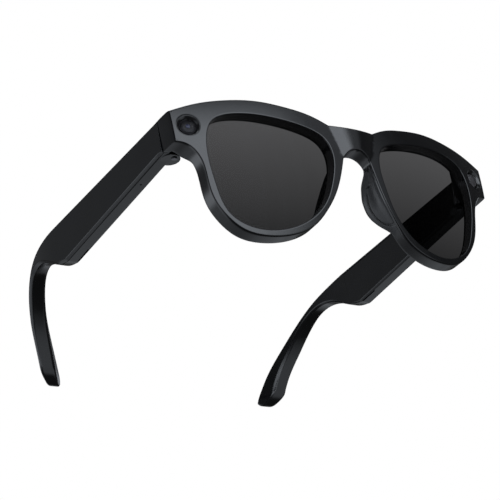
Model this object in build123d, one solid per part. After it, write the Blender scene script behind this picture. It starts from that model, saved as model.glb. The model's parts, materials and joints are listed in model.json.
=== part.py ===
from build123d import *
import os
from math import asin, cos, sin, sqrt

# Camera smart glasses: a one-piece front with recessed lenses, a camera in the wearer's
# right end-piece, a status light in the left one, and two thick folding temples that
# hold the electronics.
#
# The glasses are drawn as worn, in millimetres: X to the wearer's left, Y from the face
# of the front towards the ear tips, Z up. At the end they are tilted and moved so that
# they stand on the rim bottoms and ear tips, with the origin under the middle of the box.
# "left" and "right" are the wearer's.

os.makedirs("parts", exist_ok=True)

# Front surface: a slab of a torus, bowed across the face and less so from brow to cheek
FACE_RADIUS = 222.0
BROW_RADIUS = 140.8
BROW_Z = 36.1
FACE_Y = -0.22
SLAB_HEIGHTS = (-12.0, 6.0, 22.0, 38.0, 56.0)
SLAB_SWEEP = 50.0

# Depths behind the front surface
RIM_DEPTH = 5.4
LENS_NEAR, LENS_FAR = 3.0, 4.4
FLEX_NEAR = 4.1

# Front outline
END_TOP = (73.0, 43.9)
END_BOTTOM = (72.4, 30.6)
BRIDGE_HALF, BRIDGE_TOP = 10.2, 42.3
ARCH_HALF, ARCH_FOOT, ARCH_TOP = 6.1, 28.3, 32.2
BRIDGE_BULGE = 1.4
LENS_LEDGE = 0.8
COVER_RING = 1.5
COVER_HALF = 60.4

# End-piece housing behind the rim
HOUSING_INNER_X = 61.6
HOUSING_REAR_Y = 20.1
HOUSING_RELIEF_Y = 18.6
HOUSING_LIP_X = 70.6

# Camera and status light, set square to the front surface
EYE_X, EYE_Z = 66.9, 37.3
EYE_RADIUS = 4.5
EYE_HOLE = 3.35
EYE_CAVITY = 4.2
EYE_CAVITY_DEPTH = 6.2
CONTACT_X, CONTACT_Z, CONTACT_RADIUS = 2.6, 36.6, 1.0

# Hinge
HINGE_X, HINGE_Y, HINGE_Z = 66.9, 21.5, 37.3
HINGE_LEAN = 9.0
BARREL_RADIUS = 1.9
PIN_RADIUS = 0.7
PIN_CLEARANCE = 0.03
HINGE_LOW, HINGE_HIGH = 32.2, 42.6
PIN_LOW = 30.05
KNUCKLE_GAP = 0.08

PLATE_NEAR_Y = 17.75
LOBE_X, LOBE_Y, LOBE_RADIUS, LOBE_HIGH = 68.2, 23.4, 3.5, 31.7

# Temples
TEMPLE_FRONT_Y = 20.4
TEMPLE_THICK = 6.2
TEMPLE_OUTER_X = 73.55
COVER_WALL = 1.3
SHELL_WALL = 1.2
CAVITY_FRONT_Y, CAVITY_REAR_Y = 26.5, 102.0
COVER_ONLY_Y = 106.0

# Controls
BUTTON_LENGTH, BUTTON_WIDTH, BUTTON_Y = 10.0, 2.6, 36.0
BUTTON_TRAVEL = 0.5
SWITCH_TRAVEL = 2.0

# Standing attitude: rim bottoms and ear tips on the ground
STAND_TILT = 2.87


# ---------------------------------------------------------------- helpers

def surface_point(x, z, depth=0.0):
    """Point on the front surface at x and z, moved in by depth along the normal."""
    rise = (z - BROW_Z) / BROW_RADIUS
    profile_y = FACE_Y + BROW_RADIUS * (1 - sqrt(1 - rise * rise))
    reach = FACE_RADIUS + FACE_Y - profile_y
    turn = asin(x / reach)
    normal = Vector(sin(turn) * sqrt(1 - rise * rise), -cos(turn) * sqrt(1 - rise * rise), rise)
    return Vector(x, FACE_RADIUS + FACE_Y - reach * cos(turn), z) - normal * depth, normal


def slab(near, far):
    """Shell between the front surface moved in by near and by far."""
    centre_y = FACE_Y + BROW_RADIUS

    def arc(depth):
        radius = BROW_RADIUS - depth
        points = [(0, centre_y - sqrt(radius ** 2 - (z - BROW_Z) ** 2), z)
                  for z in SLAB_HEIGHTS]
        return Spline(*points)

    front, rear = arc(near), arc(far)
    section = make_face([front, Line(front @ 1, rear @ 1), rear, Line(rear @ 0, front @ 0)])
    axis = Axis((0, FACE_RADIUS + FACE_Y, 0), (0, 0, 1))
    return revolve(section.rotate(axis, -SLAB_SWEEP / 2), axis, SLAB_SWEEP)


def upright(edges):
    """Face in the XZ plane from edges drawn as (x, z) pairs."""
    return make_face([Plane.XZ * edge for edge in edges])


def through(face, y_near, y_far):
    """Prism of an XZ face from y_near to y_far."""
    return extrude(Pos(0, y_near, 0) * face, y_far - y_near, dir=(0, 1, 0))


def box(x, y, z):
    """Box from three (low, high) pairs."""
    size = [high - low for low, high in (x, y, z)]
    middle = [(high + low) / 2 for low, high in (x, y, z)]
    return Pos(*middle) * Box(*size)


def post(x, y, z_low, z_high, radius):
    """Upright cylinder."""
    return Pos(x, y, (z_low + z_high) / 2) * Cylinder(radius, z_high - z_low)


def flip(shape):
    """The same piece for the wearer's right side."""
    return mirror(shape, Plane.YZ)


# ---------------------------------------------------------------- front outlines

def front_outline():
    """Whole outer shape of the front, seen from ahead."""
    brow = [(BRIDGE_HALF, BRIDGE_TOP), (16.7, 45.4), (28.1, 48.3), (38.7, 49.8), (50.6, 49.4),
            (62.0, 47.5), END_TOP]
    rim = [END_BOTTOM, (69.2, 29.9), (65.8, 26.9), (63.5, 22.2), (62.3, 16.0), (60.6, 9.0),
           (56.0, 1.9), (48.6, -3.6), (39.1, -5.3), (29.6, -4.1), (21.8, -0.5), (15.6, 6.2),
           (11.4, 13.1), (8.4, 20.6), (ARCH_HALF, ARCH_FOOT)]
    edges = [Line((-BRIDGE_HALF, BRIDGE_TOP), (BRIDGE_HALF, BRIDGE_TOP)),
             ThreePointArc((-ARCH_HALF, ARCH_FOOT), (0, ARCH_TOP), (ARCH_HALF, ARCH_FOOT))]
    for side in (1, -1):
        edges.append(Spline(*[(side * x, z) for x, z in brow]))
        edges.append(Line((side * END_TOP[0], END_TOP[1]), (side * END_BOTTOM[0], END_BOTTOM[1])))
        edges.append(Spline(*[(side * x, z) for x, z in rim]))
    return upright(edges)


def lens_outline(grow=0.0):
    """Left lens opening, or the same shape larger all round by about grow."""
    middle_x, middle_z = 36.0, 20.5
    half_width, half_height = 25.0, 23.0

    def grown(points):
        return [(middle_x + (x - middle_x) * (1 + grow / half_width),
                 middle_z + (z - middle_z) * (1 + grow / half_height)) for x, z in points]

    points = [(11.0, 28.5), (12.4, 19.0), (16.1, 9.6), (23.3, 2.0), (33.2, -2.2), (44.6, -2.3),
              (54.4, 3.0), (59.0, 13.7), (61.0, 29.0), (57.5, 39.8), (47.1, 43.2), (34.1, 42.5),
              (21.7, 39.9), (13.0, 35.0)]
    return upright([Spline(*grown(points), periodic=True)])


def cover_band():
    """Upper band of the rear cover: the brows and the bridge, open at the lenses."""
    brow = [(9.6, 41.1), (16.4, 44.2), (28.0, 47.2), (38.7, 48.7), (50.6, 48.3), (COVER_HALF, 46.6)]
    edges = [Line((-9.6, 41.1), (9.6, 41.1)),
             ThreePointArc((-7.8, 30.0), (0, ARCH_TOP + 1.2), (7.8, 30.0))]
    for side in (1, -1):
        edges.append(Spline(*[(side * x, z) for x, z in brow]))
        lower = ((COVER_HALF, 46.6), (COVER_HALF, 36.0), (14.0, 26.0), (7.8, 30.0))
        edges.append(Polyline(*[(side * x, z) for x, z in lower]))
    return upright(edges)


# ---------------------------------------------------------------- front pieces

def bridge_bulge():
    """Keystone swelling on the front of the bridge, narrower towards the nose arch."""
    sections = []
    for z, half, bulge in ((44.0, 10.8, BRIDGE_BULGE), (27.0, 5.6, BRIDGE_BULGE * 0.75)):
        skin = 0.12
        arc = ThreePointArc((-half, skin, z), (0, -bulge, z), (half, skin, z))
        back = Polyline((half, skin, z), (half, 1.5, z), (-half, 1.5, z), (-half, skin, z))
        sections.append(make_face([arc, back]))
    return loft(sections, ruled=True)


def eye_plane():
    """Plane on the front surface at the left eye, Z out of the glass, X level."""
    origin, normal = surface_point(EYE_X, EYE_Z)
    return Plane(origin=origin, x_dir=(normal.Y * -1, normal.X, 0), z_dir=normal)


def eye_disc(radius, near, far, hole=0.0):
    """Disc or ring on the eye axis between two depths behind the surface."""
    disc = Pos(0, 0, -(near + far) / 2) * Cylinder(radius, far - near)
    if hole:
        disc -= Pos(0, 0, -(near + far) / 2) * Cylinder(hole, far - near)
    return eye_plane() * disc


def eye_block(width, height, near, far):
    return eye_plane() * (Pos(0, 0, -(near + far) / 2) * Box(width, height, far - near))


def flex_strip():
    """Ribbon cable along the brow from one end-piece to the other."""
    path = [(-63.0, 44.6), (-50.6, 46.4), (-38.7, 46.6), (-28.0, 45.0), (-20.0, 42.7),
            (-10.0, 39.4), (0.0, 38.6)]
    path += [(-x, z) for x, z in reversed(path[:-1])]
    half = 0.9
    upper = Spline(*[(x, z + half) for x, z in path])
    lower = Spline(*[(x, z - half) for x, z in path])
    ends = [Line(upper @ 0, lower @ 0), Line(upper @ 1, lower @ 1)]
    return through(upright([upper, lower, *ends]), -10, 40) & slab(FLEX_NEAR, LENS_FAR)


def housing_body():
    """Outer form of the left end-piece housing, from the rim's rear face to the hinge."""
    outline = upright([
        Polyline((HOUSING_INNER_X, 45.8), (HOUSING_INNER_X, 33.5), (65.2, 30.9), (END_BOTTOM[0], 30.9),
                 END_TOP, (HOUSING_INNER_X, 45.8)),
    ])
    body = through(outline, 5.0, HOUSING_REAR_Y)
    body -= slab(-30, RIM_DEPTH)
    body -= box((50, HOUSING_LIP_X), (HOUSING_RELIEF_Y, 30), (20, 60))
    corner = Polyline((60.0, 13.5), (66.0, 19.5), (60.0, 19.5), close=True)
    return body - extrude(Pos(0, 0, 20) * make_face(corner), 40)


def nose_pad():
    """Moulded pad that swells inwards and rearwards from the rim beside the nose."""
    sections = [(27.5, 8.6, 6.6, 0.7, 1.2), (23.5, 9.4, 8.0, 1.9, 3.6), (18.5, 10.4, 8.8, 2.5, 4.4),
                (13.0, 12.0, 9.6, 2.9, 4.6), (8.0, 14.4, 10.2, 2.8, 4.2), (4.0, 16.9, 10.6, 1.9, 3.0),
                (1.5, 18.6, 10.4, 0.7, 1.2)]
    return loft([Pos(x, y, z) * Ellipse(across, deep) for z, x, y, across, deep in sections])


def make_front():
    """Pieces fixed to the front; most are drawn on the wearer's left and mirrored."""
    parts = {}
    whole = through(front_outline(), -10, 40)
    housing = housing_body()
    frame = (whole & slab(0, RIM_DEPTH)) + (bridge_bulge() & whole) + housing + flip(housing)

    # the rear cover sits in a rebate and holds the lenses in their pockets
    ring = through(lens_outline(COVER_RING), -10, 40)
    cover = (through(cover_band(), -10, 40) + ring + flip(ring)) & slab(LENS_FAR, RIM_DEPTH)
    lens = through(lens_outline(LENS_LEDGE), -10, 40) & slab(LENS_NEAR, LENS_FAR)
    for face in (lens_outline(), flip(lens_outline())):
        opening = through(face, -10, 40)
        frame -= opening
        cover -= opening
    flex = flex_strip()
    eye_hole = eye_disc(EYE_RADIUS, -2.0, 2.4) + eye_disc(EYE_CAVITY, 2.0, EYE_CAVITY_DEPTH)
    flex = flex - eye_hole - flip(eye_hole)
    for cut in (cover, lens, flip(lens), flex, eye_hole, flip(eye_hole)):
        frame -= cut
    parts["rear_cover"] = cover
    parts["lens_left"] = lens
    parts["lens_right"] = flip(lens)
    parts["front_flex"] = flex

    # camera on the wearer's right, status light on the left, behind matching rings
    ring = eye_disc(EYE_RADIUS, -0.15, 2.4, EYE_HOLE)
    window = eye_disc(EYE_HOLE, 0.5, 1.3)
    board = eye_block(5.6, 5.6, 5.3, 6.1)
    parts["status_light_ring"] = ring
    parts["status_light_window"] = window
    parts["status_light_diffuser"] = eye_disc(2.9, 2.4, 3.8)
    parts["status_light_emitter"] = eye_block(2.2, 2.2, 4.2, 5.3)
    parts["status_light_board"] = board
    parts["camera_ring"] = flip(ring)
    parts["camera_window"] = flip(window)
    parts["camera_barrel"] = flip(eye_disc(3.1, 1.8, 4.6, 1.5))
    dome = eye_plane() * (Pos(0, 0, -4.3) * Sphere(2.4))
    parts["camera_lens"] = flip(dome & eye_disc(1.5, 1.8, 3.4))
    parts["camera_sensor"] = flip(eye_block(3.8, 3.8, 4.6, 5.3))
    parts["camera_board"] = flip(board)

    pad = nose_pad() - frame - cover
    pad = max(pad.solids(), key=lambda solid: solid.volume)
    parts["nose_pad_left"] = pad
    parts["nose_pad_right"] = flip(pad)

    # charging contacts set in the rear cover behind the bridge
    contacts = []
    for x in (-CONTACT_X, CONTACT_X):
        pin = Pos(x, 4.7, CONTACT_Z) * Rot(90, 0, 0) * Cylinder(CONTACT_RADIUS, 1.6)
        contacts.append(pin)
        parts["rear_cover"] -= pin
        frame -= pin
    contacts = [pin - flex for pin in contacts]
    parts["charging_contacts"] = Compound(contacts)

    # hinge plates let into the rear of the housings
    plate = front_hinge_leaf()
    screws = [plate_screw(z) for z in (HINGE_LOW + 0.9, HINGE_HIGH - 0.9)]
    for screw in screws:
        plate -= screw
    parts["hinge_plate_left"] = plate
    parts["hinge_plate_right"] = flip(plate)
    both_screws = screws + [flip(screw) for screw in screws]
    parts["hinge_plate_screws"] = Compound(both_screws)
    for cut in (plate, flip(plate), *both_screws):
        frame -= cut
    parts["front_frame"] = frame
    return parts


# ---------------------------------------------------------------- hinge

def knuckle_levels():
    """Heights of the three knuckles: front, temple, front."""
    third = (HINGE_HIGH - HINGE_LOW) / 3
    low, high = HINGE_LOW + third, HINGE_HIGH - third
    half_gap = KNUCKLE_GAP / 2
    return [(HINGE_LOW, low - half_gap), (low + half_gap, high - half_gap),
            (high + half_gap, HINGE_HIGH)]


def lean(shape):
    """Tilt an upright hinge piece so that its top comes forward about the hinge point."""
    middle = Pos(HINGE_X, HINGE_Y, HINGE_Z)
    return middle * (Rot(HINGE_LEAN, 0, 0) * (middle.inverse() * shape))


def front_hinge_leaf():
    """Plate on the housing with the upper and lower knuckles."""
    lower, _, upper = knuckle_levels()
    knuckles = []
    for low, high in (lower, upper):
        knuckles.append(box((HINGE_X - 1.3, HINGE_X + 1.3), (PLATE_NEAR_Y - 2, HINGE_Y), (low, high)))
        knuckles.append(post(HINGE_X, HINGE_Y, low, high, BARREL_RADIUS))
    bore = post(HINGE_X, HINGE_Y, HINGE_LOW - 1, HINGE_HIGH + 1, PIN_RADIUS + PIN_CLEARANCE)
    leaf = lean(Part() + knuckles - bore) - box((50, 80), (0, PLATE_NEAR_Y), (20, 60))
    plate = box((63.4, 70.0), (PLATE_NEAR_Y, HOUSING_RELIEF_Y), (HINGE_LOW - 0.2, HINGE_HIGH + 0.2))
    return plate + leaf


def temple_hinge_leaf():
    """Middle knuckle with the arm that is let into the temple's inner shell."""
    low, high = knuckle_levels()[1]
    leaf = post(HINGE_X, HINGE_Y, low, high, BARREL_RADIUS)
    leaf += box((HINGE_X + 0.6, HINGE_X + BARREL_RADIUS), (HINGE_Y, 33.0), (low, high))
    return lean(leaf - post(HINGE_X, HINGE_Y, HINGE_LOW, HINGE_HIGH, PIN_RADIUS))


def hinge_screw():
    """Pin through the knuckles with its head under the lobe of the inner shell."""
    shank = post(HINGE_X, HINGE_Y, PIN_LOW, HINGE_HIGH + 0.2, PIN_RADIUS)
    return lean(shank + post(HINGE_X, HINGE_Y, PIN_LOW - 0.05, PIN_LOW + 0.6, 1.15))


def plate_screw(z):
    """Countersunk screw of the hinge plate."""
    shank = Pos(64.3, 16.9, z) * Rot(90, 0, 0) * Cylinder(0.4, 3.2)
    head = Pos(64.3, HOUSING_RELIEF_Y - 0.2, z) * Rot(90, 0, 0) * Cylinder(0.75, 0.4)
    return shank + head


# ---------------------------------------------------------------- temples

def temple_plan():
    """Left temple seen from above: a straight block, then the ear tip curving inwards."""
    outer_line = Line((TEMPLE_OUTER_X, TEMPLE_FRONT_Y), (75.1, 105.0))
    outer_tip = Spline(outer_line @ 1, (74.9, 119.0), (73.2, 131.0), (69.6, 142.9), (63.6, 153.6),
                       (56.5, 162.5), tangents=[outer_line % 1, (-0.66, 0.75)])
    inner_line = Line((TEMPLE_OUTER_X - TEMPLE_THICK, TEMPLE_FRONT_Y), (75.1 - TEMPLE_THICK, 105.0))
    inner_tip = Spline(inner_line @ 1, (68.3, 119.0), (66.4, 130.5), (62.5, 142.0), (56.6, 152.0),
                       (49.4, 161.0), tangents=[inner_line % 1, (-0.66, 0.75)])
    ends = [Line(outer_line @ 0, inner_line @ 0), Line(outer_tip @ 1, inner_tip @ 1)]
    return make_face([outer_line, outer_tip, inner_line, inner_tip, *ends])


def temple_side():
    """Left temple seen from the side, as a YZ face: deep block, notch and drooping ear tip."""
    top_line = Line((TEMPLE_FRONT_Y, 44.2), (106.0, 45.2))
    top_tip = Spline(top_line @ 1, (118.0, 44.3), (129.4, 41.4), (139.8, 35.1), (148.8, 25.9),
                     (155.9, 15.4), (161.3, 3.6), tangents=[top_line % 1, (0.42, -0.91)])
    end = ThreePointArc((161.3, 3.6), (158.4, 1.9), (155.6, 3.2))
    lower_tip = Spline((155.6, 3.2), (151.6, 14.2), (145.7, 24.0), (139.0, 32.0), (132.5, 36.6),
                       (125.0, 37.9), (117.0, 35.6), (110.6, 31.8), (104.6, 28.3), (98.5, 26.5))
    bottom = Line((98.5, 26.5), (TEMPLE_FRONT_Y, 30.7))
    front = Line((TEMPLE_FRONT_Y, 30.7), (TEMPLE_FRONT_Y, 44.2))
    return make_face([Plane.YZ * edge for edge in (top_line, top_tip, end, lower_tip, bottom, front)])


def ear_core_side():
    """Side view of the flat metal strip inside the ear tip."""
    middle = [(112.0, 39.0), (120.0, 41.1), (128.5, 40.1), (136.8, 35.7), (143.6, 29.2),
              (149.4, 21.6), (154.2, 13.6), (157.4, 7.0)]
    rise, run = 0.9, 0.7
    upper = Spline(*[(y + run, z + rise) for y, z in middle])
    lower = Spline(*[(y - run, z - rise) for y, z in middle])
    ends = [Line(upper @ 0, lower @ 0), Line(upper @ 1, lower @ 1)]
    return make_face([Plane.YZ * edge for edge in (upper, lower, *ends)])


def temple_body(plan, side):
    """Solid with the given plan and side views."""
    return extrude(plan, 60) & extrude(Pos(40, 0, 0) * side, 45, dir=(1, 0, 0))


def make_temple():
    """Pieces common to both temples, drawn for the wearer's left."""
    parts = {}
    body = temple_body(temple_plan(), temple_side())
    below_cover = body & (Pos(-COVER_WALL, 0, -COVER_WALL) * body)
    core = below_cover & box((40, 90), (0, COVER_ONLY_Y), (0, 60))
    hollow = (Pos(SHELL_WALL, 0, SHELL_WALL) * body) & below_cover
    hollow &= box((40, 90), (CAVITY_FRONT_Y, CAVITY_REAR_Y), (0, 60))
    relief = lean(post(HINGE_X, HINGE_Y, HINGE_LOW - 0.3, HINGE_HIGH + 0.4, BARREL_RADIUS + 0.35))
    cover = body - core - relief
    lobe = post(LOBE_X, LOBE_Y, 30.1, LOBE_HIGH, LOBE_RADIUS)
    shell = core + (lobe - cover) - hollow - relief

    leaf = temple_hinge_leaf()
    screw = hinge_screw()
    parts["hinge_leaf"] = leaf
    parts["hinge_screw"] = screw
    shell = shell - leaf - screw
    cover -= screw

    # springy metal core of the ear tip
    ear_core = temple_body(Pos(-2.6, 0, 0) * temple_plan(), ear_core_side())
    ear_core &= Pos(2.6, 0, 0) * body
    parts["ear_core"] = ear_core
    cover -= ear_core

    # loudspeaker over its slot, microphone over its pinhole
    floor = Pos(0, 0, SHELL_WALL) * body
    grille = (floor - (Pos(0, 0, 0.3) * floor)) & box((70.2, 72.2), (86.8, 99.0), (20, 34))
    parts["speaker_grille"] = grille
    parts["speaker"] = box((70.2, 72.9), (87.0, 98.6), (28.9, 36.5))
    microphone = (floor - (Pos(0, 0, 1.1) * floor)) & box((69.6, 72.2), (40.0, 43.4), (20, 34))
    parts["microphone"] = microphone
    shell -= box((70.4, 71.3), (88.0, 98.0), (20, 29.5))
    shell -= post(70.8, 41.7, 20, 31.5, 0.45)

    # hinge-side cable
    parts["hinge_cable"] = box((69.4, 69.7), (CAVITY_FRONT_Y, 31.0), (40.4, 42.0))
    parts["cover"] = cover
    parts["shell"] = shell
    return parts, body


def make_right_temple():
    """Right temple: main board, touch strip and capture button. Drawn on the left side."""
    parts, body = make_temple()
    liner = Pos(-COVER_WALL, 0, 0) * body
    strip = (liner - (Pos(-0.25, 0, 0) * liner)) & box((60, 90), (46.0, 84.0), (33.0, 41.0))
    parts["touch_strip"] = strip
    parts["main_board"] = box((70.2, 71.1), (46.0, 85.0), (31.2, 42.6))
    chips = [box((71.1, 71.9), (low, low + 7.0), (33.5, 40.5)) for low in (49.0, 60.0, 71.0)]
    parts["main_chips"] = Compound(chips)
    slot = Pos(70.7, BUTTON_Y, 43.9) * extrude(Rot(0, 0, 90) * SlotOverall(BUTTON_LENGTH, BUTTON_WIDTH), 3,
                                               both=True)
    cap = Pos(70.7, BUTTON_Y, 42.2) * extrude(
        Rot(0, 0, 90) * SlotOverall(BUTTON_LENGTH - 0.4, BUTTON_WIDTH - 0.4), 2.65)
    flange = Pos(70.7, BUTTON_Y, 42.2) * extrude(
        Rot(0, 0, 90) * SlotOverall(BUTTON_LENGTH + 1.0, BUTTON_WIDTH + 0.6), 0.6)
    parts["capture_button"] = cap + flange
    parts["button_contact"] = box((69.9, 71.5), (34.6, 37.4), (38.4, 41.3))
    cover = parts["cover"]
    parts["cover"] = cover - (slot & box((60, 80), (20, 60), (42.5, 60)))
    return parts


def make_left_temple():
    """Left temple: battery, charging board and power switch."""
    parts, _ = make_temple()
    cell = box((69.8, 72.5), (45.6, 84.0), (31.4, 42.6))
    parts["battery"] = fillet(cell.edges().filter_by(Axis.Y), 1.0)
    parts["charging_board"] = box((70.2, 71.0), (28.0, 38.6), (33.0, 42.2))
    knob = box((67.15, 69.1), (35.6, 38.2), (36.6, 38.4))
    knob += box((69.1, 69.6), (34.9, 38.9), (35.8, 39.2))
    parts["power_switch"] = knob
    parts["shell"] -= box((66, 69.1), (35.3, 38.5 + SWITCH_TRAVEL), (36.3, 38.7))
    return parts


# ---------------------------------------------------------------- assembly

def standing(shape):
    return Rot(-STAND_TILT, 0, 0) * shape


nodes = make_front()
for name, piece in make_left_temple().items():
    label = name if name in ("battery", "charging_board", "power_switch") else f"{name}_left"
    nodes[label] = piece
for name, piece in make_right_temple().items():
    own = ("touch_strip", "main_board", "main_chips", "capture_button", "button_contact")
    nodes[name if name in own else f"{name}_right"] = flip(piece)
for side in ("left", "right"):
    nodes[f"temple_cover_{side}"] = nodes.pop(f"cover_{side}")
    nodes[f"temple_shell_{side}"] = nodes.pop(f"shell_{side}")

stood = {name: standing(piece) for name, piece in nodes.items()}
boxes = [piece.bounding_box() for piece in stood.values()]
low = [min(getattr(b.min, axis) for b in boxes) for axis in "XYZ"]
high = [max(getattr(b.max, axis) for b in boxes) for axis in "XYZ"]
shift = Pos(-(low[0] + high[0]) / 2, -(low[1] + high[1]) / 2, -low[2])
for name, piece in stood.items():
    export_step(shift * piece, f"parts/{name}.step")

print("size", [round(b - a, 3) for a, b in zip(low, high)])
for label, place in (("hinge", (HINGE_X, HINGE_Y, HINGE_Z)),
                     ("housing side", (72.7, 16.0, 37.3)),
                     ("temple side", (TEMPLE_OUTER_X + 0.725, 60.0, 38.0))):
    point = (shift * Rot(-STAND_TILT, 0, 0) * Pos(*place)).position
    print(label, [round(value, 4) for value in point])
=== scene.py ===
import json
import math

import bmesh
import bpy
import numpy as np
from mathutils import Matrix, Quaternion, Vector
from mathutils.geometry import delaunay_2d_cdt


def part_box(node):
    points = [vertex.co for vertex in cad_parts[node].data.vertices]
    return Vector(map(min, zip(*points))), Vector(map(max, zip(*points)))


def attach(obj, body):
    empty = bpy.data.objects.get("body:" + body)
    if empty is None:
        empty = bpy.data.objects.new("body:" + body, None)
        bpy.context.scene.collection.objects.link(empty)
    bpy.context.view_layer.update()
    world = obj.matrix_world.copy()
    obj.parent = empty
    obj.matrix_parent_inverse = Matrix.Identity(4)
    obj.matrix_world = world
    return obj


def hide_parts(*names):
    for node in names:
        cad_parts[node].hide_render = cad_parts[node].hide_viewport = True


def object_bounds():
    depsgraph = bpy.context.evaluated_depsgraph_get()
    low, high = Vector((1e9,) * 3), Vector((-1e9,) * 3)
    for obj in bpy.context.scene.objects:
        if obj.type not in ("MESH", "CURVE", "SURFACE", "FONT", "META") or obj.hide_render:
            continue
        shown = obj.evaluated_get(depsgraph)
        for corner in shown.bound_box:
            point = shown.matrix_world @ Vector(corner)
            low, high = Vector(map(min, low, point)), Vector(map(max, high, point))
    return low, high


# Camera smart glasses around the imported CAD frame. Outlines are in millimetres as worn
# (X to the wearer's left, Y from the front towards the ear tips, Z up), as in the CAD source.
# Every mesh is drawn for the wearer's left and mirrored for the right, then placed in the row frame.

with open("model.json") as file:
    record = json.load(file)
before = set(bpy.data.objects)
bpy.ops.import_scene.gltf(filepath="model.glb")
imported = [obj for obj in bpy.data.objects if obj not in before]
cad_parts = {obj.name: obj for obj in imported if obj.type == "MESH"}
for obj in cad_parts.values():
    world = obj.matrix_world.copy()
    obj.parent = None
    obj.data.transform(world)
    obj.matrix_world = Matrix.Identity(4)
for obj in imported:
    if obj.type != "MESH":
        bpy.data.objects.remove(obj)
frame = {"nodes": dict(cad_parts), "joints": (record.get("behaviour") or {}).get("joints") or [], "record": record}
cad_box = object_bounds()

# Standing attitude, and the hinge point that ties the worn frame to the row frame
STAND_TILT = math.radians(2.87)
HINGE = (66.9, 21.5, 37.3)
HINGE_LEAN = math.radians(9.0)
hinge_joint = next(j for j in frame["joints"] if j["name"] == "left_temple_hinge")

# Front surface, and depths behind it
FACE_RADIUS, BROW_RADIUS, BROW_Z, FACE_Y = 222.0, 140.8, 36.1, -0.22
RIM_DEPTH, LENS_NEAR, LENS_FAR = 5.4, 3.0, 4.4
COVER_SEAT, COVER_GAP = 4.5, 0.05
BRIDGE_BULGE, BRIDGE_DIP = 1.9, 0.95

# Front outline
BROW = [(10.2, 42.3), (16.7, 45.4), (28.1, 48.3), (38.7, 49.8), (50.6, 49.4), (62.0, 47.5), (73.0, 43.9)]
RIM = [(72.4, 30.6), (69.2, 29.9), (65.8, 26.9), (63.5, 22.2), (62.3, 16.0), (60.6, 9.0), (56.0, 1.9),
       (48.6, -3.6), (39.1, -5.3), (29.6, -4.1), (21.8, -0.5), (15.6, 6.2), (11.4, 13.1), (8.4, 20.6),
       (6.1, 28.3)]
LENS = [(11.0, 28.5), (12.4, 19.0), (16.1, 9.6), (23.3, 2.0), (33.2, -2.2), (44.6, -2.3), (54.4, 3.0),
        (59.0, 13.7), (61.0, 29.0), (57.5, 39.8), (47.1, 43.2), (34.1, 42.5), (21.7, 39.9), (13.0, 35.0)]
ARCH_TOP = 32.2

# End-piece housing
HOUSING_INNER_X, HOUSING_LIP_X = 61.5, 70.6
HOUSING_REAR_Y, HOUSING_RELIEF_Y = 20.1, 18.5
HOUSING_SWOOP = (64.2, 23.8)
COVER_EDGE_X = 61.4
TEMPLE_OUTER_X = 73.55

# Eye of the camera and of the status light
EYE_X, EYE_Z, EYE_RADIUS = 66.9, 37.3, 4.5

# Temples
TEMPLE_FRONT_Y = 20.4
TEMPLE_THICK = 6.35
COVER_WALL, SHELL_WALL = 1.3, 1.2
COVER_ONLY_Y = 106.0
KNUCKLE_LOW = 31.9
TEMPLE_SHARP = 26.0                         # degrees, so that the chamfer keeps its edges
# Flat chamfer with softened corners, as shares of its width: inset from the edge, depth below the face
CHAMFER = [(1.08, 0.0), (0.98, 0.02), (0.88, 0.10), (0.5, 0.5), (0.10, 0.88), (0.02, 0.98), (0.0, 1.08)]

# Light panels, in metres and in shares of the light and of the size
PANEL_DISTANCE = 5.5
PANEL_LAYERS = [(0.35, 0.76), (0.35, 1.0), (0.30, 1.24)]
PANEL_STEP = 0.02                           # layers in one plane would be counted only once
FLOOR_HALF, FLOOR_LEVEL, FLOOR_GLOW = 6.0, -0.0003, 0.72

# Camera low at the front on the wearer's right
CAMERA_PLACE, CAMERA_AIM = (-375.1, -439.75, -301.0), (-0.33, 77.56, 31.15)
CAMERA_ROLL, CAMERA_LENS = math.radians(9.9), 126.36


# ---------------------------------------------------------------- curves and outlines

def smooth_curve(points, step, closed=False, start=None, end=None):
    """Points about step apart on a curve of continuous curvature through the given points."""
    p = np.array(points, float)
    if closed:
        p = np.vstack([p, p[:1]])
    span = np.linalg.norm(np.diff(p, axis=0), axis=1)
    count = len(p)
    system = np.zeros((count, count))
    target = np.zeros_like(p)
    for i in range(1, count - 1):
        before, after = 1 / span[i - 1], 1 / span[i]
        system[i, i - 1:i + 2] = before, 2 * (before + after), after
        target[i] = 3 * ((p[i] - p[i - 1]) * before ** 2 + (p[i + 1] - p[i]) * after ** 2)
    if closed:
        before, after = 1 / span[-1], 1 / span[0]
        system[0, [-2, 0, 1]] = before, 2 * (before + after), after
        target[0] = 3 * ((p[0] - p[-2]) * before ** 2 + (p[1] - p[0]) * after ** 2)
        system[-1, [0, -1]] = 1, -1
    else:
        for row, near, direction, length in ((0, 1, start, span[0]), (-1, -2, end, span[-1])):
            system[row, row] = 2 if direction is None else 1
            if direction is None:
                system[row, near] = 1
                target[row] = 3 * (p[near] - p[row]) / length * (1 if row == 0 else -1)
            else:
                target[row] = direction
    slope = np.linalg.solve(system, target)
    found = []
    for i in range(count - 1):
        pieces = max(1, round(span[i] / step))
        t = (np.arange(pieces) / pieces)[:, None]
        found.append((2 * t ** 3 - 3 * t ** 2 + 1) * p[i] + (3 * t ** 2 - 2 * t ** 3) * p[i + 1]
                     + span[i] * ((t ** 3 - 2 * t ** 2 + t) * slope[i] + (t ** 3 - t ** 2) * slope[i + 1]))
    if not closed:
        found.append(p[-1:])
    return np.vstack(found)


def straight(a, b, step):
    """Points about step apart from a to b."""
    a, b = np.array(a, float), np.array(b, float)
    pieces = max(1, round(float(np.linalg.norm(b - a)) / step))
    return a + (b - a) * (np.arange(pieces + 1) / pieces)[:, None]


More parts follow.
